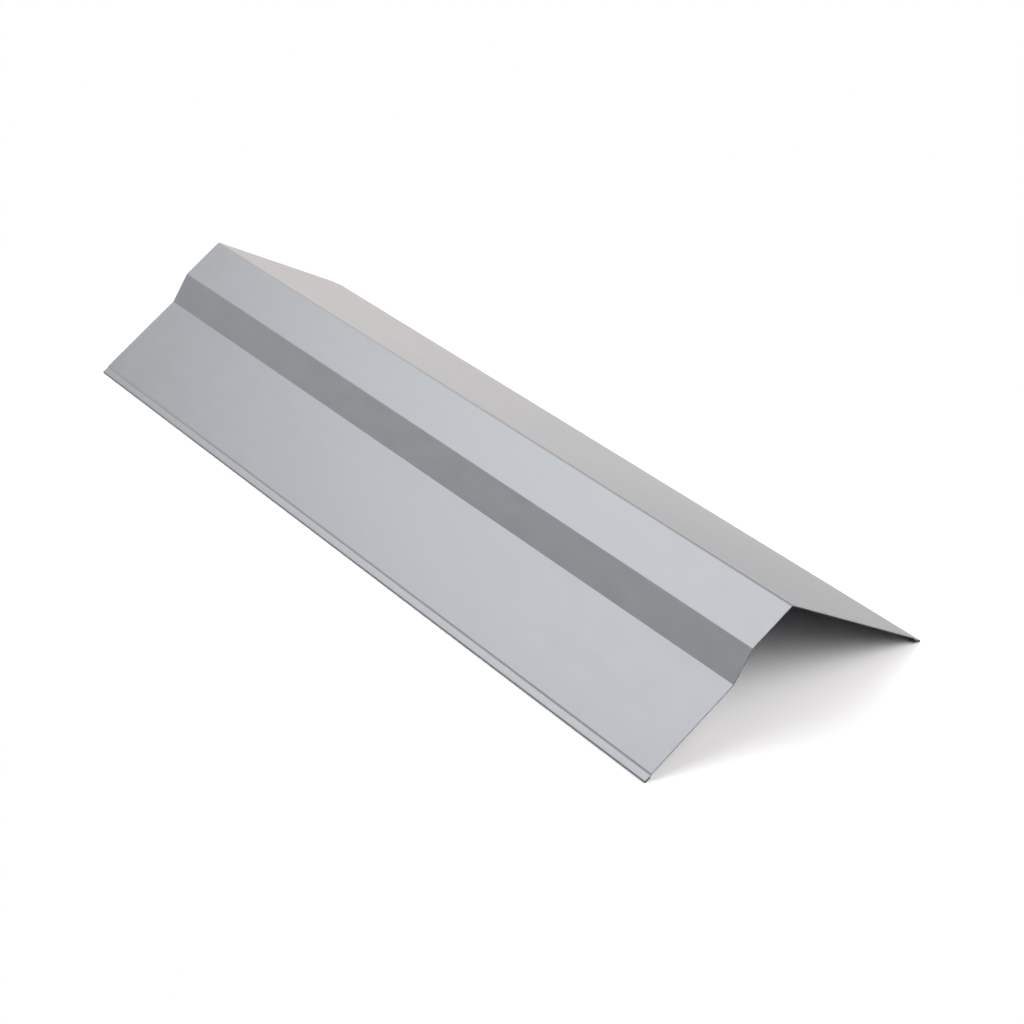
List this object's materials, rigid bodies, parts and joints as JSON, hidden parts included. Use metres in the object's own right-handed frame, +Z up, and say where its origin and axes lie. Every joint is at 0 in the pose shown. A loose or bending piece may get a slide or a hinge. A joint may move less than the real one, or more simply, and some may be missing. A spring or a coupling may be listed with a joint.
{
  "type": "roof hip cap",
  "caption": "Folded sheet-metal hip cap for a roof: a stepped side and a plain side meet at a ridge, with joggled, hemmed long edges and an open hollow beneath.",
  "frame": {"origin": "bottom centre of the bounding box, on the level surface that both hemmed edges rest on, under the middle of the length", "axes": "+X along the hip, +Y from the stepped side to the plain side, +Z up"},
  "size_m": [1.2, 0.3828, 0.1287],
  "materials": {
    "coated_aluminium": "satin"
  },
  "bodies": {
    "root": {"hip_cap": "coated_aluminium"}
  },
  "joints": []
}
